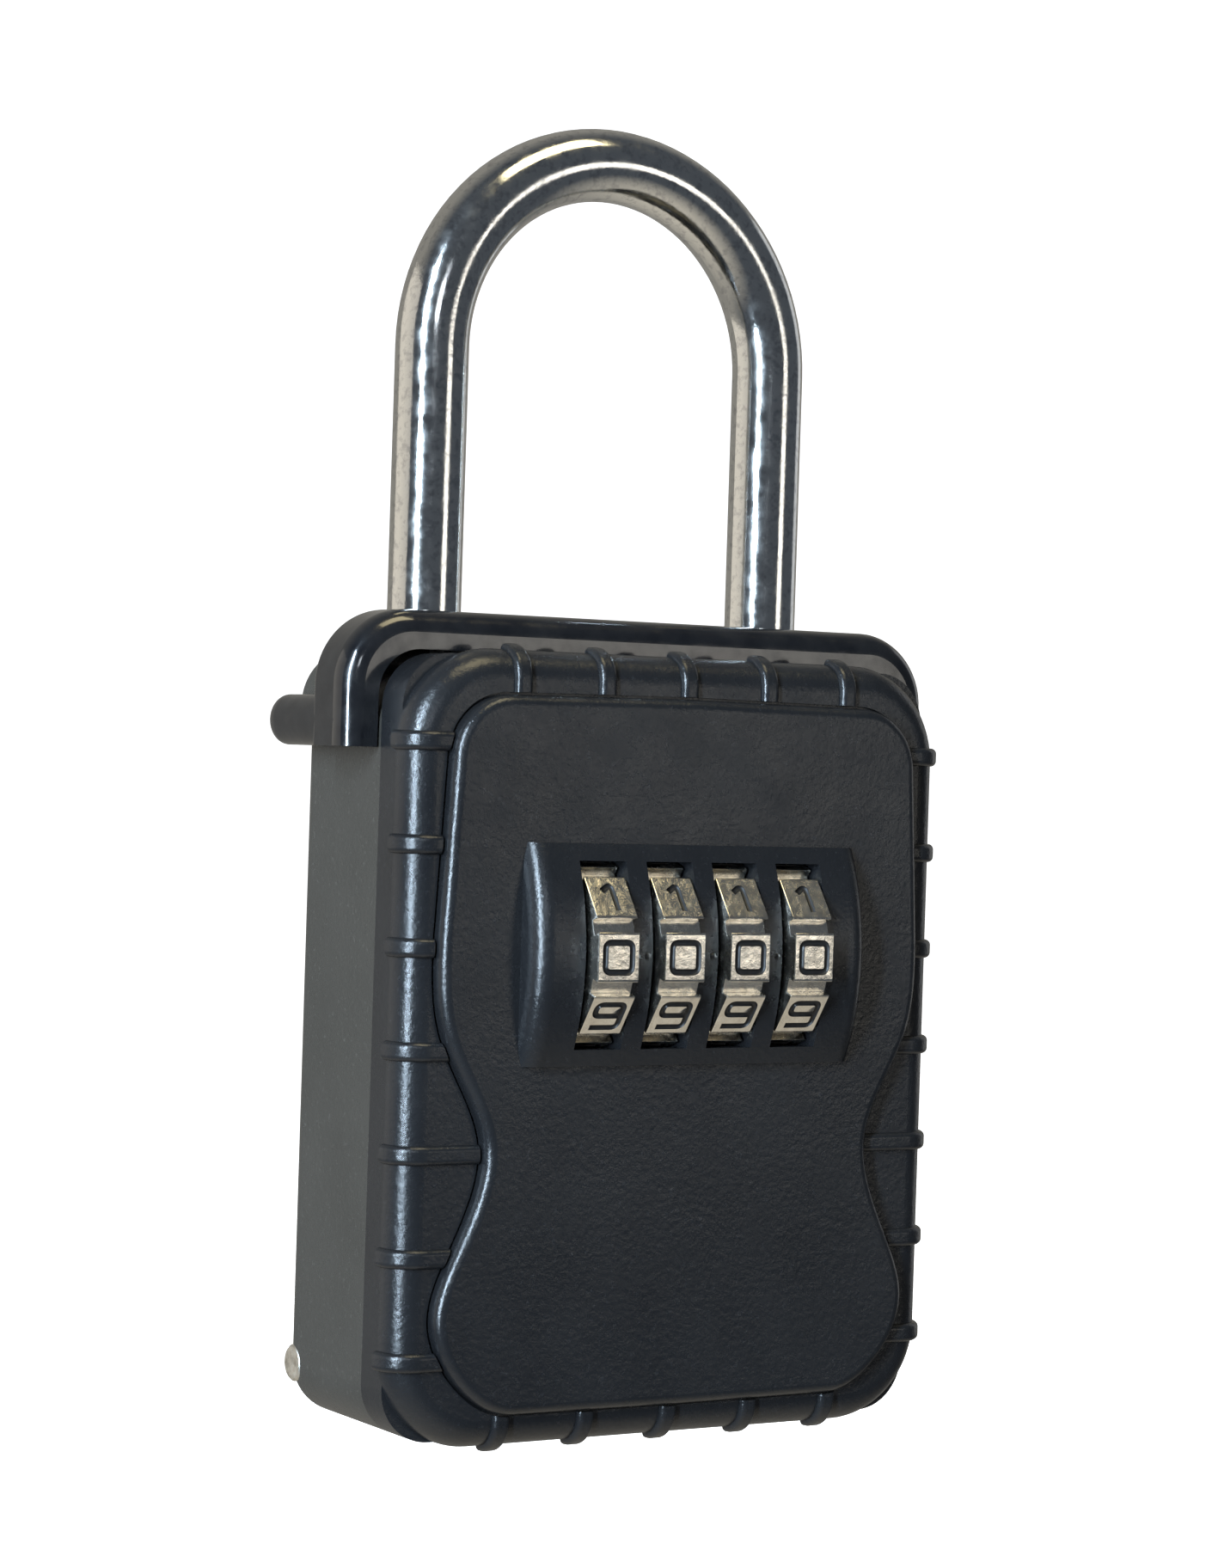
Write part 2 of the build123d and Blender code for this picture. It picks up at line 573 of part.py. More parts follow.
with BuildPart() as reset_lever:
    with BuildSketch(Plane.XZ.offset(-LEVER_Y - LEVER_THICK)):
        with Locations((LEVER_X, LEVER_Z + LEVER_LENGTH / 2)):
            SlotCenterToCenter(LEVER_LENGTH, LEVER_WIDTH, rotation=90)
        with Locations((LEVER_X, LEVER_Z)):
            Circle(LEVER_PIVOT_R + RUN, mode=Mode.SUBTRACT)
    extrude(amount=LEVER_THICK)
    tab_low = LEVER_Z + LEVER_LENGTH
    block(
        (LEVER_X - LEVER_TAB_HALF, LEVER_Y, tab_low),
        (LEVER_X + LEVER_TAB_HALF, LEVER_Y + LEVER_TAB_REACH, tab_low + LEVER_THICK),
    )
write(reset_lever, "reset_lever")

# ---- rear casing --------------------------------------------------------------------------------------------
with BuildPart() as rear_casing:
    # head, rounded at its top corners and round its rear edge
    with BuildSketch(Plane.XZ.offset(-CASING_REAR_Y)):
        with Locations((0, (HEAD_LOW + HEAD_TOP) / 2)):
            head_face = Rectangle(2 * SHELL_HALF, HEAD_TOP - HEAD_LOW)
        fillet(head_face.vertices().group_by(Axis.Y)[-1], HEAD_CORNER)
    extrude(amount=CASING_REAR_Y - HEAD_FRONT_Y)
    rear_edges = rear_casing.faces().sort_by(Axis.Y)[-1].edges()
    fillet(rear_edges.filter_by(lambda e: e.center().Z > HEAD_LOW + 0.1), 2.2)
    # back plate with a stiffening rim
    block((-PLATE_HALF, PLATE_FRONT_Y, PLATE_LOW), (PLATE_HALF, CASING_REAR_Y, HEAD_LOW))
    rim_top = HEAD_LOW - COVER_THICK - GAP
    for left in (-PLATE_HALF, PLATE_HALF - RIM_THICK):
        block((left, PLATE_FRONT_Y - RIM_DEPTH, RIM_LOW), (left + RIM_THICK, PLATE_FRONT_Y, rim_top))
    # hinge lugs
    for left in (-LUG_OUT, LUG_IN):
        right = left + LUG_OUT - LUG_IN
        bar((left, PIN_Y, PIN_Z), (right, PIN_Y, PIN_Z), LUG_R)
        block((left, PIN_Y - LUG_HALF_Y, PIN_Z), (right, PLATE_FRONT_Y, PLATE_LOW + LUG_JOIN))
    bar((-FAR, PIN_Y, PIN_Z), (FAR, PIN_Y, PIN_Z), PIN_R + RUN, mode=Mode.SUBTRACT)
    # bores for the shackle's legs
    for side in (-1, 1):
        x = side * SHACKLE_HALF
        bar((x, SHACKLE_Y, HEAD_LOW), (x, SHACKLE_Y, HEAD_TOP), LEG_BORE_R, mode=Mode.SUBTRACT)
    # recess for the hood's tongue plate, room for the container's shelf, bores for the guide rods
    block((-RECESS_HALF, 0, RECESS_LOW), (RECESS_HALF, RECESS_REAR_Y, HEAD_TOP + 1), mode=Mode.SUBTRACT)
    shelf_room = SHELF_HALF + SHELF_GAP
    shelf_room_rear = SHELF_REAR_Y + SHELF_GAP
    block((-shelf_room, 0, HEAD_LOW), (shelf_room, shelf_room_rear, HEAD_TOP + 1), mode=Mode.SUBTRACT)
    for side in (-1, 1):
        x = side * GUIDE_X
        bar((x, GUIDE_Y, HEAD_LOW), (x, GUIDE_Y, HEAD_TOP), GUIDE_R + RUN, mode=Mode.SUBTRACT)
    # channel for the shackle's lock plate
    block(
        (-SHACKLE_HALF + 2, LOCK_Y - LOCK_HALF_Y - 0.3, HEAD_LOW),
        (LOCK_RIGHT + 0.5, LOCK_Y + LOCK_HALF_Y + 0.3, LOCK_TOP + 0.3),
        mode=Mode.SUBTRACT,
    )
    for x, y in COVER_SCREWS:
        bar((x, y, HEAD_LOW), (x, y, HEAD_LOW + 4.4), SCREW_R, mode=Mode.SUBTRACT)
write(rear_casing, "rear_casing")

with BuildPart() as head_cover:
    block(
        (-PLATE_HALF, HEAD_FRONT_Y + COVER_SETBACK, HEAD_LOW - COVER_THICK),
        (PLATE_HALF, PLATE_FRONT_Y - COVER_GAP, HEAD_LOW),
    )
    low, high = HEAD_LOW - COVER_THICK - 1, HEAD_LOW + 1
    block((-shelf_room, 0, low), (shelf_room, shelf_room_rear, high), mode=Mode.SUBTRACT)
    bar((SHACKLE_HALF, SHACKLE_Y, low), (SHACKLE_HALF, SHACKLE_Y, high), LEG_BORE_R, mode=Mode.SUBTRACT)
    for side in (-1, 1):
        x = side * GUIDE_X
        bar((x, GUIDE_Y, low), (x, GUIDE_Y, high), GUIDE_R + RUN, mode=Mode.SUBTRACT)
    slot_half = KNOB_NECK_R + GAP
    block(
        (KNOB_X - LOCK_TRAVEL - slot_half, LOCK_Y - slot_half, low),
        (KNOB_X + slot_half, LOCK_Y + slot_half, high),
        mode=Mode.SUBTRACT,
    )
    for x, y in COVER_SCREWS:
        bar((x, y, low), (x, y, high), SCREW_R, mode=Mode.SUBTRACT)
write(head_cover, "head_cover")

with BuildPart() as head_cover_screws:
    for x, y in COVER_SCREWS:
        screw(x, y, HEAD_LOW - COVER_THICK, (0, 0, 1), COVER_THICK + 4.2)
write(head_cover_screws, "head_cover_screws")

# ---- shackle and its lock -----------------------------------------------------------------------------------
with BuildPart() as shackle:
    with BuildLine():
        short_leg = Line((-SHACKLE_HALF, SHACKLE_Y, SHORT_LEG_Z), (-SHACKLE_HALF, SHACKLE_Y, ARC_Z))
        crown = ThreePointArc(
            short_leg @ 1, (0, SHACKLE_Y, ARC_Z + SHACKLE_HALF), (SHACKLE_HALF, SHACKLE_Y, ARC_Z)
        )
        Line(crown @ 1, (SHACKLE_HALF, SHACKLE_Y, LONG_LEG_Z))
    with BuildSketch(Plane(origin=short_leg @ 0, z_dir=(0, 0, 1))):
        Circle(SHACKLE_R)
    sweep()
    chamfer(shackle.edges().filter_by(GeomType.CIRCLE).sort_by(Axis.Z)[0], 0.6)
    # notch for the lock plate and groove for the stop ring
    block(
        (-SHACKLE_HALF + 2.0, LOCK_Y - LOCK_HALF_Y - 0.4, LOCK_Z - 0.3),
        (-SHACKLE_HALF + 6, LOCK_Y + 5, LOCK_TOP + 0.4),
        mode=Mode.SUBTRACT,
    )
    with BuildSketch(Plane.XY.offset(STOP_Z)):
        with Locations((SHACKLE_HALF, SHACKLE_Y)):
            Circle(SHACKLE_R + 1)
            Circle(SHACKLE_R - STOP_GROOVE, mode=Mode.SUBTRACT)
    extrude(amount=STOP_THICK, mode=Mode.SUBTRACT)
write(shackle, "shackle")

with BuildPart() as shackle_stop_ring:
    with BuildSketch(Plane.XY.offset(STOP_Z)):
        with Locations((SHACKLE_HALF, SHACKLE_Y)):
            Circle(SHACKLE_R + STOP_PROUD)
            Circle(SHACKLE_R - STOP_GROOVE, mode=Mode.SUBTRACT)
        with Locations((SHACKLE_HALF + SHACKLE_R, SHACKLE_Y)):
            Rectangle(4, 1.6, mode=Mode.SUBTRACT)
    extrude(amount=STOP_THICK)
write(shackle_stop_ring, "shackle_stop_ring")

with BuildPart() as shackle_lock_plate:
    block((LOCK_LEFT, LOCK_Y - LOCK_HALF_Y, LOCK_LOW), (LOCK_RIGHT, LOCK_Y + LOCK_HALF_Y, LOCK_TOP))
    block((LOCK_LEFT, LOCK_Y - 5, LOCK_LOW), (LOCK_LEFT + 3.2, LOCK_Y + 5, LOCK_Z), mode=Mode.SUBTRACT)
    pin_top = LOCK_LOW + KNOB_PIN_LENGTH
    bar((KNOB_X, LOCK_Y, LOCK_LOW), (KNOB_X, LOCK_Y, pin_top), KNOB_PIN_R, mode=Mode.SUBTRACT)
write(shackle_lock_plate, "shackle_lock_plate")

with BuildPart() as shackle_lock_knob:
    bar((KNOB_X, LOCK_Y, KNOB_TOP - KNOB_HEIGHT), (KNOB_X, LOCK_Y, KNOB_TOP), KNOB_R)
    fillet(shackle_lock_knob.edges().filter_by(GeomType.CIRCLE).sort_by(Axis.Z)[0], 0.8)
    bar((KNOB_X, LOCK_Y, KNOB_TOP), (KNOB_X, LOCK_Y, LOCK_LOW), KNOB_NECK_R)
    bar((KNOB_X, LOCK_Y, LOCK_LOW), (KNOB_X, LOCK_Y, pin_top), KNOB_PIN_R)
write(shackle_lock_knob, "shackle_lock_knob")

# ---- hood ---------------------------------------------------------------------------------------------------
with BuildPart() as hood_cover:
    with BuildSketch(Plane.XZ.offset(-HOOD_REAR_Y)):
        with Locations((0, (HOOD_ARM_LOW + HOOD_TOP) / 2)):
            outer = Rectangle(2 * HOOD_HALF, HOOD_TOP - HOOD_ARM_LOW)
        fillet(outer.vertices().group_by(Axis.Y)[-1], HOOD_CORNER)
    extrude(amount=HOOD_REAR_Y - HOOD_FRONT_Y)
    hood_front = hood_cover.faces().sort_by(Axis.Y)[0].edges()
    fillet(hood_front.filter_by(lambda e: e.center().Z > HOOD_ARM_LOW + 0.1), 3.0)
    hood_rear = hood_cover.faces().sort_by(Axis.Y)[-1].edges()
    fillet(hood_rear.filter_by(lambda e: e.center().Z > HOOD_ARM_LOW + 0.1), 1.4)
    with BuildSketch(Plane.XZ.offset(-HOOD_REAR_Y - 20)):
        with Locations((0, HOOD_INNER_TOP / 2)):
            inner = Rectangle(2 * HOOD_INNER_HALF, HOOD_INNER_TOP)
        fillet(inner.vertices().group_by(Axis.Y)[-1], 6.0)
    extrude(amount=60, mode=Mode.SUBTRACT)
    # roof over the tongue plate and the pocket under it
    roof_half = RECESS_HALF - ROOF_GAP
    block((-roof_half, HOOD_REAR_Y - 2, ROOF_LOW), (roof_half, RECESS_REAR_Y - ROOF_GAP, HOOD_TOP))
    block((-POCKET_HALF, POCKET_FRONT_Y, 90), (POCKET_HALF, 30, ROOF_LOW), mode=Mode.SUBTRACT)
    # pegs that point to the rear from the arms' lower ends
    for side in (-1, 1):
        x = side * (HOOD_INNER_HALF + 0.1 + PEG_HALF_X)
        with BuildSketch(Plane.XZ):
            with Locations((x, PEG_Z)):
                Ellipse(PEG_HALF_X, PEG_HALF_Z)
        extrude(amount=-(PEG_TIP_Y - PEG_NOSE))
        with BuildSketch(Plane.XZ.offset(-(PEG_TIP_Y - PEG_NOSE))):
            with Locations((x, PEG_Z)):
                Ellipse(PEG_HALF_X, PEG_HALF_Z)
        with BuildSketch(Plane.XZ.offset(-(PEG_TIP_Y - PEG_NOSE * 0.3))):
            with Locations((x, PEG_Z)):
                Ellipse(PEG_HALF_X * 0.8, PEG_HALF_Z * 0.8)
        with BuildSketch(Plane.XZ.offset(-PEG_TIP_Y)):
            with Locations((x, PEG_Z)):
                Ellipse(PEG_HALF_X * 0.35, PEG_HALF_Z * 0.35)
        loft()
    for x, y in YOKE_SCREWS:
        bar((x, y, ROOF_LOW), (x, y, ROOF_LOW + 1.2), SCREW_R, mode=Mode.SUBTRACT)
write(hood_cover, "hood_cover")

with BuildPart() as hood_yoke:
    yoke_low = ROOF_LOW - YOKE_THICK
    block((-YOKE_HALF, YOKE_FRONT_Y, yoke_low), (YOKE_HALF, YOKE_REAR_Y, ROOF_LOW))
    block((-TONGUE_OUT, TONGUE_Y, TONGUE_LOW), (TONGUE_OUT, TONGUE_Y + TONGUE_THICK, yoke_low))
    # the lock bar's nose passes below the web and enters the window above it
    tongue_rear = TONGUE_Y + TONGUE_THICK
    block((-TONGUE_IN, TONGUE_Y, TONGUE_LOW), (TONGUE_IN, tongue_rear, WEB_LOW), mode=Mode.SUBTRACT)
    block((-WEB_HALF, TONGUE_Y, WEB_TOP), (WEB_HALF, tongue_rear, yoke_low), mode=Mode.SUBTRACT)
    for x, y in YOKE_SCREWS:
        bar((x, y, yoke_low), (x, y, ROOF_LOW), SCREW_R, mode=Mode.SUBTRACT)
    for side in (-1, 1):
        x = side * GUIDE_X
        bar((x, GUIDE_Y, yoke_low), (x, GUIDE_Y, ROOF_LOW), GUIDE_R, mode=Mode.SUBTRACT)
write(hood_yoke, "hood_yoke")

with BuildPart() as hood_guide_rods:
    for side in (-1, 1):
        bar((side * GUIDE_X, GUIDE_Y, GUIDE_LOW), (side * GUIDE_X, GUIDE_Y, ROOF_LOW), GUIDE_R)
write(hood_guide_rods, "hood_guide_rods")

with BuildPart() as yoke_screws:
    for x, y in YOKE_SCREWS:
        screw(x, y, ROOF_LOW - YOKE_THICK, (0, 0, 1), YOKE_THICK + 1.1)
write(yoke_screws, "yoke_screws")
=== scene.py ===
"""Looks of the key lock box: powder coated body, moulded hood, chromed shackle and engraved dials."""

import math

import bmesh
import bpy
from mathutils import Matrix, Vector


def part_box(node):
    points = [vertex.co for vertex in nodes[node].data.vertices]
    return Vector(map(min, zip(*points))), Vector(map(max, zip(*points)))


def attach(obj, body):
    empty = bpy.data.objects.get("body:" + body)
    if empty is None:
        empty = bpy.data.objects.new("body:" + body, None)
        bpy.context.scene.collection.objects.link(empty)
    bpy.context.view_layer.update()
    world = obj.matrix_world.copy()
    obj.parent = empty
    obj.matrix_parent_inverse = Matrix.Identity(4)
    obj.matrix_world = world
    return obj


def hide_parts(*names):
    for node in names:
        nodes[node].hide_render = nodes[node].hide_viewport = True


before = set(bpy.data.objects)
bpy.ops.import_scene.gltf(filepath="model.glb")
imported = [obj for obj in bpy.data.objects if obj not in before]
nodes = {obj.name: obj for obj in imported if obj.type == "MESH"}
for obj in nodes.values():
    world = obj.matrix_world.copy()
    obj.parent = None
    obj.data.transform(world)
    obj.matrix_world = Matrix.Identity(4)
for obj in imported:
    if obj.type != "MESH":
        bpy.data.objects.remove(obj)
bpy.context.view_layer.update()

# ---- camera -------------------------------------------------------------------------------------------------
CAMERA_PLACE = Vector((-0.2612, -0.4260, 0.0894))
CAMERA_YAW = math.radians(31.1)
CAMERA_PITCH = math.radians(-0.34)
CAMERA_ROLL = math.radians(1.81)
CAMERA_LENS = 85.27
SENSOR_WIDTH = 36


def make_camera():
    """The camera stands to the left of the front, level with the box's upper half."""
    ahead = Vector((
        math.sin(CAMERA_YAW) * math.cos(CAMERA_PITCH),
        math.cos(CAMERA_YAW) * math.cos(CAMERA_PITCH),
        math.sin(CAMERA_PITCH),
    ))
    level_right = Vector((math.cos(CAMERA_YAW), -math.sin(CAMERA_YAW), 0))
    level_up = level_right.cross(ahead)
    right = level_right * math.cos(CAMERA_ROLL) + level_up * math.sin(CAMERA_ROLL)
    up = level_up * math.cos(CAMERA_ROLL) - level_right * math.sin(CAMERA_ROLL)
    data = bpy.data.cameras.new("camera")
    data.lens = CAMERA_LENS
    data.sensor_width = SENSOR_WIDTH
    data.clip_start = 0.01
    data.clip_end = 20
    camera = bpy.data.objects.new("camera", data)
    turned = Matrix((right, up, -ahead)).transposed().to_4x4()
    camera.matrix_world = Matrix.Translation(CAMERA_PLACE) @ turned
    bpy.context.scene.collection.objects.link(camera)
    bpy.context.scene.camera = camera


# ---- light and floor ----------------------------------------------------------------------------------------
HANG_HEIGHT = 0.045  # the box hangs from its shackle this far above the floor, so that it can open
SWEEP_R = 4.0
SWEEP_BEND = 1.2  # radius of the curve between floor and backdrop
SWEEP_STEPS = 16
SWEEP_SIDES = 96
SWEEP_RISE = 3.0
LAMP_AIM = Vector((0, 0, 0.08))  # near the middle of the box
FRONT_TONE = (0.070, 0.080, 0.095, 1)
REAR_TONE = (0.29, 0.28, 0.255, 1)
LOW_TONE = (0.62, 0.58, 0.50, 1)


def area_light(name, azimuth, height, distance, size, power, colour):
    """A soft rectangular light. Azimuth 0 is in front of the box (-Y), positive towards +X."""
    turn = math.radians(azimuth)
    place = Vector((math.sin(turn) * distance, -math.cos(turn) * distance, height))
    data = bpy.data.lights.new(name, "AREA")
    data.shape = "RECTANGLE"
    data.size, data.size_y = size
    data.energy = power
    data.color = colour
    light = bpy.data.objects.new(name, data)
    light.location = place
    light.rotation_euler = (LAMP_AIM - place).to_track_quat("-Z", "Y").to_euler()
    bpy.context.scene.collection.objects.link(light)


def make_world():
    """A dim surround: cool in front, warmer behind, and palest below, like light off a table."""
    world = bpy.data.worlds.new("studio")
    bpy.context.scene.world = world
    world.use_nodes = True
    tree = world.node_tree
    direction = tree.nodes.new("ShaderNodeSeparateXYZ")
    tree.links.new(tree.nodes.new("ShaderNodeTexCoord").outputs["Generated"], direction.inputs["Vector"])
    rear_share = tree.nodes.new("ShaderNodeValToRGB")
    rear_share.color_ramp.elements[0].color = FRONT_TONE
    rear_share.color_ramp.elements[1].color = REAR_TONE
    rear_share.color_ramp.elements[0].position = 0.0
    rear_share.color_ramp.elements[1].position = 0.55
    tree.links.new(direction.outputs["Y"], rear_share.inputs["Fac"])
    below = tree.nodes.new("ShaderNodeMapRange")
    below.inputs["From Min"].default_value = -0.45
    below.inputs["From Max"].default_value = -0.95
    tree.links.new(direction.outputs["Z"], below.inputs["Value"])
    sky = tree.nodes.new("ShaderNodeMix")
    sky.data_type = "RGBA"
    sky.inputs[7].default_value = LOW_TONE
    tree.links.new(below.outputs["Result"], sky.inputs[0])
    tree.links.new(rear_share.outputs["Color"], sky.inputs[6])
    tree.links.new(sky.outputs[2], tree.nodes["Background"].inputs["Color"])


def make_lamps():
    """A tall narrow window on the left, a broad warm side light and four small fills."""
    area_light(
        "window_left", azimuth=-58, height=0.30, distance=0.9,
        size=(0.08, 0.80), power=22.0, colour=(0.66, 0.83, 1.0),
    )
    area_light(
        "front_left", azimuth=-20, height=0.55, distance=1.4,
        size=(0.20, 0.20), power=1.2, colour=(0.85, 0.92, 1.0),
    )
    area_light(
        "warm_side", azimuth=-118, height=0.25, distance=1.2,
        size=(1.3, 1.1), power=2.4, colour=(1.0, 0.92, 0.80),
    )
    area_light(
        "front_right", azimuth=31, height=0.16, distance=1.6,
        size=(0.4, 0.35), power=0.9, colour=(1.0, 0.95, 0.86),
    )
    area_light(
        "rim_right", azimuth=100, height=0.25, distance=1.1,
        size=(0.4, 0.9), power=0.6, colour=(0.95, 0.97, 1.0),
    )
    area_light(
        "top_warm", azimuth=20, height=1.0, distance=0.35,
        size=(0.5, 0.35), power=3.0, colour=(1.0, 0.86, 0.52),
    )


def make_floor():
    """A pale round floor that curves up into the backdrop, left out of the box's light and reflections."""
    mesh = bpy.data.meshes.new("studio_floor")
    form = bmesh.new()
    profile = [Vector((0, 0, -HANG_HEIGHT)), Vector((SWEEP_R - SWEEP_BEND, 0, -HANG_HEIGHT))]
    for i in range(1, SWEEP_STEPS + 1):
        turn = math.pi / 2 * i / SWEEP_STEPS
        out, rise = SWEEP_BEND * math.sin(turn), SWEEP_BEND * (1 - math.cos(turn))
        profile.append(profile[1] + Vector((out, 0, rise)))
    profile.append(profile[-1] + Vector((0, 0, SWEEP_RISE)))
    chain = [form.verts.new(point) for point in profile]
    edges = [form.edges.new(pair) for pair in zip(chain, chain[1:])]
    bmesh.ops.spin(form, geom=edges, axis=(0, 0, 1), cent=(0, 0, 0), steps=SWEEP_SIDES, angle=2 * math.pi)
    bmesh.ops.remove_doubles(form, verts=form.verts, dist=0.0001)
    bmesh.ops.recalc_face_normals(form, faces=form.faces)
    form.to_mesh(mesh)
    form.free()
    mesh.shade_smooth()
    floor = bpy.data.objects.new("studio_floor", mesh)
    bpy.context.scene.collection.objects.link(floor)
    paint = bpy.data.materials.new("studio_paper")
    paint.use_nodes = True
    shader = paint.node_tree.nodes["Principled BSDF"]
    shader.inputs["Base Color"].default_value = (0.93, 0.93, 0.93, 1)
    shader.inputs["Roughness"].default_value = 0.9
    shader.inputs["Emission Color"].default_value = (1, 1, 1, 1)
    shader.inputs["Emission Strength"].default_value = 1.1
    mesh.materials.append(paint)
    floor.visible_diffuse = False
    floor.visible_glossy = False
    floor.visible_shadow = False


# ---- material helpers ---------------------------------------------------------------------------------------
class Material:
    """A node material with short calls for the noise, ramps and bumps that the surfaces share."""

    def __init__(self, name, colour, metallic, roughness, **sockets):
        self.material = bpy.data.materials.new(name)
        self.material.use_nodes = True
        self.tree = self.material.node_tree
        self.shader = self.tree.nodes["Principled BSDF"]
        self.shader.inputs["Base Color"].default_value = (*colour, 1)
        self.shader.inputs["Metallic"].default_value = metallic
        self.shader.inputs["Roughness"].default_value = roughness
        for socket, value in sockets.items():
            self.shader.inputs[socket.replace("_", " ")].default_value = value
        self.place = self.tree.nodes.new("ShaderNodeTexCoord").outputs["Object"]

    def noise(self, size, detail=4.0, roughness=0.6, stretch=None):
        """Noise whose features are about size metres across, stretched along an axis if asked."""
        node = self.tree.nodes.new("ShaderNodeTexNoise")
        node.inputs["Scale"].default_value = 1 / size
        node.inputs["Detail"].default_value = detail
        node.inputs["Roughness"].default_value = roughness
        source = self.place
        if stretch:
            mapping = self.tree.nodes.new("ShaderNodeMapping")
            mapping.inputs["Scale"].default_value = stretch
            self.tree.links.new(source, mapping.inputs["Vector"])
            source = mapping.outputs["Vector"]
        self.tree.links.new(source, node.inputs["Vector"])
        return node.outputs["Fac"]

    def cells(self, size):
        """Rounded cells about size metres across, for the pebbled surface of a powder coat."""
        node = self.tree.nodes.new("ShaderNodeTexVoronoi")
        node.feature = "SMOOTH_F1"
        node.inputs["Scale"].default_value = 1 / size
        self.tree.links.new(self.place, node.inputs["Vector"])
        return node.outputs["Distance"]

    def ramp(self, value, low, high, start=0.3, end=0.7):
        """A colour between low and high as value goes from start to end."""
        node = self.tree.nodes.new("ShaderNodeValToRGB")
        node.color_ramp.elements[0].position = start
        node.color_ramp.elements[1].position = end
        node.color_ramp.elements[0].color = (*low, 1) if isinstance(low, tuple) else (low, low, low, 1)
        node.color_ramp.elements[1].color = (*high, 1) if isinstance(high, tuple) else (high, high, high, 1)
        self.tree.links.new(value, node.inputs["Fac"])
        return node.outputs["Color"]

    def mix(self, amount, first, second):
        """second over first by amount."""
        node = self.tree.nodes.new("ShaderNodeMix")
        node.data_type = "RGBA"
        for source, socket in ((amount, "Factor"), (first, "A"), (second, "B")):
            target = [s for s in node.inputs if s.name == socket and s.type in ("RGBA", "VALUE")]
            target = target[0] if socket == "Factor" else target[-1]
            if isinstance(source, tuple):
                target.default_value = (*source, 1)
            else:
                self.tree.links.new(source, target)
        return node.outputs[2]

    def colour(self, source):
        """Base colour from a node's output."""
        self.tree.links.new(source, self.shader.inputs["Base Color"])

    def rough(self, source):
        """Roughness from a node's output."""
        self.tree.links.new(source, self.shader.inputs["Roughness"])

    def bump(self, *layers):
        """Bumps of (height value, depth in metres), one over the other."""
        normal = None
        for height, depth in layers:
            node = self.tree.nodes.new("ShaderNodeBump")
            node.inputs["Distance"].default_value = depth
            node.inputs["Strength"].default_value = 1.0
            self.tree.links.new(height, node.inputs["Height"])
            if normal:
                self.tree.links.new(normal, node.inputs["Normal"])
            normal = node.outputs["Normal"]
        self.tree.links.new(normal, self.shader.inputs["Normal"])


# ---- materials ----------------------------------------------------------------------------------------------
def powder_coat(name, dark, light):
    """Satin black powder coat: fine pebbles, slow changes of tone and gloss, and small paler specks."""
    paint = Material(name, dark, 0.0, 0.26)
    cloud = paint.noise(0.018, 5)
    pebbles = paint.noise(0.00045, 3, 0.7)
    cells = paint.cells(0.0009)
    tone = paint.ramp(cloud, dark, light)
    speck = paint.ramp(paint.noise(0.0007, 2), 0.0, 1.0, 0.62, 0.8)
    tone = paint.mix(speck, tone, tuple(c * 1.6 for c in light))
    paint.colour(tone)
    paint.rough(paint.ramp(paint.noise(0.006, 6), 0.21, 0.31))
    paint.bump((cells, 0.00003), (pebbles, 0.00005))
    return paint.material


def moulded_gloss():
    """Glossy black vinyl moulding with soft waves, a fine grain and uneven gloss."""
    vinyl = Material("hood_vinyl", (0.006, 0.0065, 0.008), 0.0, 0.16, Coat_Weight=0.6, Coat_Roughness=0.06)
    vinyl.colour(vinyl.ramp(vinyl.noise(0.004, 6), (0.004, 0.0045, 0.006), (0.012, 0.012, 0.013)))
    vinyl.rough(vinyl.ramp(vinyl.noise(0.003, 8), 0.10, 0.26))
    vinyl.bump((vinyl.noise(0.007, 2), 0.00012), (vinyl.noise(0.0008, 3), 0.00001))
    return vinyl.material


def chrome():
    """Polished chrome with fine pits, lengthwise polishing marks and faint haze."""
    plate = Material("shackle_plate", (0.70, 0.70, 0.69), 1.0, 0.10)
    plate.colour(plate.ramp(plate.noise(0.0011, 6), (0.55, 0.55, 0.55), (0.74, 0.74, 0.72), 0.34, 0.5))
    plate.rough(plate.ramp(plate.noise(0.0025, 8), 0.05, 0.20))
    marks = plate.noise(0.0012, 3, 0.6, stretch=(1, 1, 0.06))
    plate.bump((marks, 0.000012), (plate.noise(0.0007, 4, 0.7), 0.000012))
    return plate.material


def nickel():
    """Warm nickel plate of the dials, a little uneven from casting."""
    plate = Material("dial_nickel", (0.72, 0.66, 0.55), 1.0, 0.2)
    plate.colour(plate.ramp(plate.noise(0.002, 5), (0.74, 0.69, 0.60), (0.92, 0.88, 0.79)))
    plate.rough(plate.ramp(plate.noise(0.0012, 7), 0.16, 0.30))
    plate.bump((plate.noise(0.0018, 3), 0.00006), (plate.noise(0.00035, 4, 0.7), 0.000015))
    return plate.material


def zinc_plate():
    """Zinc plated pressed steel for the inner parts."""
    steel = Material("zinc_plate", (0.55, 0.54, 0.5), 1.0, 0.34)
    steel.colour(steel.ramp(steel.noise(0.004, 6), (0.46, 0.45, 0.42), (0.64, 0.63, 0.58)))
    steel.rough(steel.ramp(steel.noise(0.0015, 6), 0.24, 0.46))
    steel.bump((steel.noise(0.0006, 5, 0.7, stretch=(1, 1, 0.1)), 0.00002))
    return steel.material


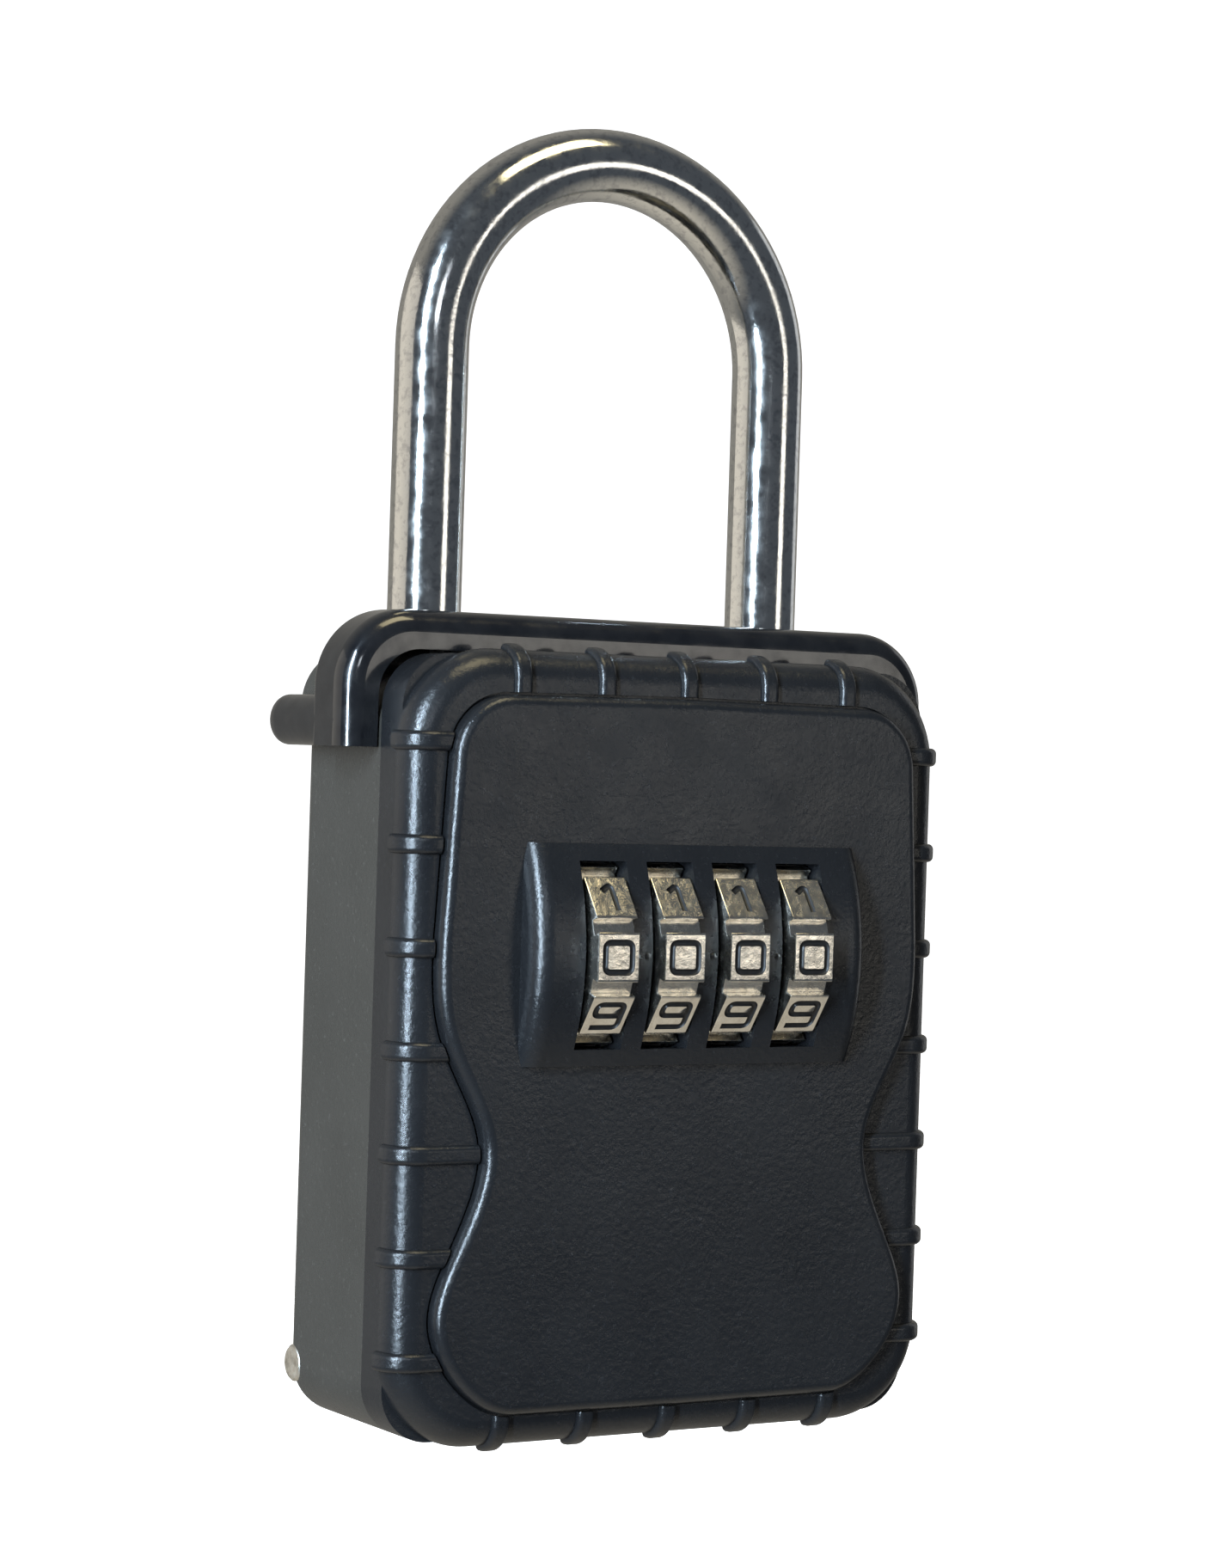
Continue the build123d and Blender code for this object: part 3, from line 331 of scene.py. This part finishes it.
def bright_steel():
    """Pale steel of the pin, with dull spots and a fine uneven grain."""
    steel = Material("bright_steel", (0.72, 0.68, 0.6), 1.0, 0.3)
    steel.colour(steel.ramp(steel.noise(0.0012, 7), (0.45, 0.42, 0.36), (0.82, 0.78, 0.7), 0.3, 0.55))
    steel.rough(steel.ramp(steel.noise(0.0009, 6), 0.3, 0.55))
    steel.bump((steel.noise(0.0005, 5, 0.7), 0.00004))
    return steel.material


def black_core():
    """Black moulded acetal of the code discs, with fine moulding grain."""
    plastic = Material("dial_core_black", (0.008, 0.008, 0.009), 0.0, 0.38)
    plastic.colour(plastic.ramp(plastic.noise(0.002, 5), (0.005, 0.005, 0.006), (0.016, 0.016, 0.017)))
    plastic.rough(plastic.ramp(plastic.noise(0.001, 6), 0.3, 0.5))
    plastic.bump((plastic.noise(0.0004, 4), 0.00002))
    return plastic.material


def digit_paint():
    """Matt black enamel that fills the engraved digits."""
    enamel = Material("digit_enamel", (0.006, 0.006, 0.007), 0.0, 0.45)
    enamel.colour(enamel.ramp(enamel.noise(0.0008, 5), (0.004, 0.004, 0.005), (0.014, 0.013, 0.012)))
    enamel.rough(enamel.ramp(enamel.noise(0.0005, 5), 0.35, 0.6))
    enamel.bump((enamel.noise(0.0003, 3), 0.00001))
    return enamel.material


# ---- dials --------------------------------------------------------------------------------------------------
DIGITS = 10
PAD_R = 0.0130  # distance of a digit's flat pad from the dial's axis
STROKE_R = 0.00046
STROKE_LIFT = 0.00012  # the strokes' centre lines lie this far above the pad, so their walls slope
GLYPH_HALF_WIDTH = 0.0020
GLYPH_HALF_HEIGHT = 0.0019
CORNER_R = 0.00085
DIAL_EDGE = 0.00014

# strokes on a grid of -1, 0 and 1 across and up the glyph; a stroke that ends where it starts is closed
BOX = ((-1, -1), (-1, 1), (1, 1), (1, -1), (-1, -1))
GLYPHS = {
    0: [BOX],
    1: [((-0.55, 0.45), (0.25, 1.05), (0.25, -1.1))],
    2: [((-1, 1), (1, 1), (1, 0), (-1, 0), (-1, -1), (1, -1))],
    3: [((-1, 1), (1, 1), (1, -1), (-1, -1)), ((-0.4, 0), (1, 0))],
    4: [((-1, 1), (-1, 0), (1, 0)), ((0.6, 1), (0.6, -1.1))],
    5: [((1, 1), (-1, 1), (-1, 0), (1, 0), (1, -1), (-1, -1))],
    6: [((1, 1), (-1, 1), (-1, -1), (1, -1), (1, 0), (-1, 0))],
    7: [((-1, 1), (1, 1), (-0.1, -1.1))],
    8: [BOX, ((-1, 0), (1, 0))],
    9: [((-1, -1), (1, -1), (1, 1), (-1, 1), (-1, 0), (1, 0))],
}


def rounded_path(points, radius, closed):
    """The points with each corner replaced by a short arc."""
    count = len(points)
    path = []
    for i, corner in enumerate(points):
        if not closed and i in (0, count - 1):
            path.append(corner)
            continue
        before = (points[i - 1] - corner).normalized()
        after = (points[(i + 1) % count] - corner).normalized()
        half_angle = before.angle(after) / 2
        cut = min(radius / math.tan(half_angle), 0.49 * (points[i - 1] - corner).length)
        start, end = corner + before * cut, corner + after * cut
        steps = 6
        for k in range(steps + 1):
            t = k / steps
            path.append(start.lerp(corner, t).lerp(corner.lerp(end, t), t))
    return path


def stroke_tube(form, points, radius, up, closed):
    """A round tube along a flat path, added to form. up is the normal of the path's plane."""
    sides = 12
    count = len(points)
    rings = []
    for i, point in enumerate(points):
        ahead = points[(i + 1) % count] if closed else points[min(i + 1, count - 1)]
        behind = points[i - 1] if closed else points[max(i - 1, 0)]
        across = (ahead - behind).normalized().cross(up)
        ring = []
        for k in range(sides):
            turn = 2 * math.pi * k / sides
            ring.append(form.verts.new(point + (across * math.cos(turn) + up * math.sin(turn)) * radius))
        rings.append(ring)
    for i in range(count if closed else count - 1):
        first, second = rings[i], rings[(i + 1) % count]
        for k in range(sides):
            form.faces.new((first[k], first[(k + 1) % sides], second[(k + 1) % sides], second[k]))
    if not closed:
        form.faces.new(rings[0])
        form.faces.new(reversed(rings[-1]))


def digit_cutter(axis):
    """Tubes along the strokes of all ten digits, laid on the pads round the dial's axis."""
    form = bmesh.new()
    for digit, strokes in GLYPHS.items():
        turn = math.radians(360 / DIGITS * digit)
        normal = Vector((0, -math.cos(turn), math.sin(turn)))
        upward = Vector((0, math.sin(turn), math.cos(turn)))
        middle = axis + normal * (PAD_R + STROKE_LIFT)
        for stroke in strokes:
            closed = stroke[0] == stroke[-1]
            flat = stroke[:-1] if closed else stroke
            points = [
                middle + Vector((1, 0, 0)) * x * GLYPH_HALF_WIDTH + upward * y * GLYPH_HALF_HEIGHT
                for x, y in flat
            ]
            stroke_tube(form, rounded_path(points, CORNER_R, closed), STROKE_R, normal, closed)
    bmesh.ops.recalc_face_normals(form, faces=form.faces)
    mesh = bpy.data.meshes.new("digit_cutter")
    form.to_mesh(mesh)
    form.free()
    return mesh


def engraved_wheel(wheel_material, enamel):
    """The first dial's wheel with softened edges and ten engraved digits, as a new mesh."""
    source = nodes["dial_wheel_1"]
    low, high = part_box("dial_wheel_1")
    axis = (Vector(low) + Vector(high)) / 2
    work = bpy.data.objects.new("dial_work", source.data.copy())
    work.data.materials.clear()
    work.data.materials.append(wheel_material)
    bpy.context.scene.collection.objects.link(work)
    weld = work.modifiers.new("weld", "WELD")
    weld.merge_threshold = 0.000002
    bevel = work.modifiers.new("edges", "BEVEL")
    bevel.width = DIAL_EDGE
    bevel.segments = 2
    bevel.angle_limit = math.radians(35)
    cutter_mesh = digit_cutter(axis)
    cutter_mesh.materials.append(enamel)
    cutter = bpy.data.objects.new("digit_cutter", cutter_mesh)
    bpy.context.scene.collection.objects.link(cutter)
    carve = work.modifiers.new("digits", "BOOLEAN")
    carve.operation = "DIFFERENCE"
    carve.solver = "EXACT"
    carve.use_self = True
    carve.material_mode = "TRANSFER"
    carve.object = cutter
    depsgraph = bpy.context.evaluated_depsgraph_get()
    mesh = bpy.data.meshes.new_from_object(work.evaluated_get(depsgraph))
    for extra in (work, cutter):
        bpy.data.objects.remove(extra)
    return mesh


def make_dials(wheel_material, enamel):
    """Four engraved wheels that stand for the plain ones and turn with them."""
    engraved = engraved_wheel(wheel_material, enamel)
    first_low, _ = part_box("dial_wheel_1")
    for number in range(1, 5):
        node = f"dial_wheel_{number}"
        low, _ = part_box(node)
        mesh = engraved.copy()
        mesh.transform(Matrix.Translation(Vector(low) - Vector(first_low)))
        mesh.shade_smooth()
        mesh.set_sharp_from_angle(angle=math.radians(30))
        wheel = bpy.data.objects.new(f"engraved_dial_{number}", mesh)
        bpy.context.scene.collection.objects.link(wheel)
        flat_pads = wheel.modifiers.new("flat_pads", "WEIGHTED_NORMAL")
        flat_pads.keep_sharp = True
        flat_pads.weight = 100
        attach(wheel, f"dial_{number}")
        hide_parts(node)


# ---- index marks --------------------------------------------------------------------------------------------
def make_index_marks(material):
    """Small domed marks beside each dial at mid height, which show the digit that counts."""
    form = bmesh.new()
    lows = [Vector(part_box(f"dial_wheel_{n}")[0]) for n in range(1, 5)]
    highs = [Vector(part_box(f"dial_wheel_{n}")[1]) for n in range(1, 5)]
    face_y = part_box("front_panel")[0][1]
    mark_r = 0.00048
    flatten = 0.5
    middle_z = (lows[0].z + highs[0].z) / 2
    for i in range(3):
        gap_left, gap_right = highs[i].x, lows[i + 1].x
        for share in (0.3, 0.7):
            x = gap_left + (gap_right - gap_left) * share
            place = Matrix.Translation((x, face_y, middle_z)) @ Matrix.Diagonal((1, flatten, 1, 1))
            bmesh.ops.create_icosphere(form, subdivisions=3, radius=mark_r, matrix=place)
    mesh = bpy.data.meshes.new("index_marks")
    form.to_mesh(mesh)
    form.free()
    mesh.shade_smooth()
    mesh.materials.append(material)
    marks = bpy.data.objects.new("index_marks", mesh)
    bpy.context.scene.collection.objects.link(marks)
    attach(marks, "container")


bpy.context.scene.view_settings.view_transform = "Standard"
make_camera()
make_world()
make_lamps()
make_floor()

SURFACES = {
    # Both are the same black powder coat. The casing's paler, warmer tone is painted warm light from the left
    # side, given to the whole shell and the rear casing. The panel keeps the darker black.
    "container_shell": powder_coat("casing_coat_painted_warm_light", (0.036, 0.034, 0.030), (0.046, 0.043, 0.038)),
    "front_panel": powder_coat("panel_coat", (0.009, 0.0095, 0.011), (0.014, 0.0145, 0.016)),
    "hood_cover": moulded_gloss(),
    "shackle": chrome(),
    "dial_wheel": nickel(),
    "code_disc": black_core(),
    "hinge_pin": bright_steel(),
}
SURFACES["rear_casing"] = SURFACES["container_shell"]
SURFACES["container_frame"] = SURFACES["front_panel"]
ZINC = zinc_plate()
ENAMEL = digit_paint()


def surface_of(name):
    """The material of a CAD node."""
    stem = name.rstrip("_1234567890")
    return SURFACES.get(name) or SURFACES.get(stem) or ZINC


for name, node in nodes.items():
    node.data.materials.clear()
    node.data.materials.append(surface_of(name))

make_dials(SURFACES["dial_wheel"], ENAMEL)
make_index_marks(SURFACES["front_panel"])
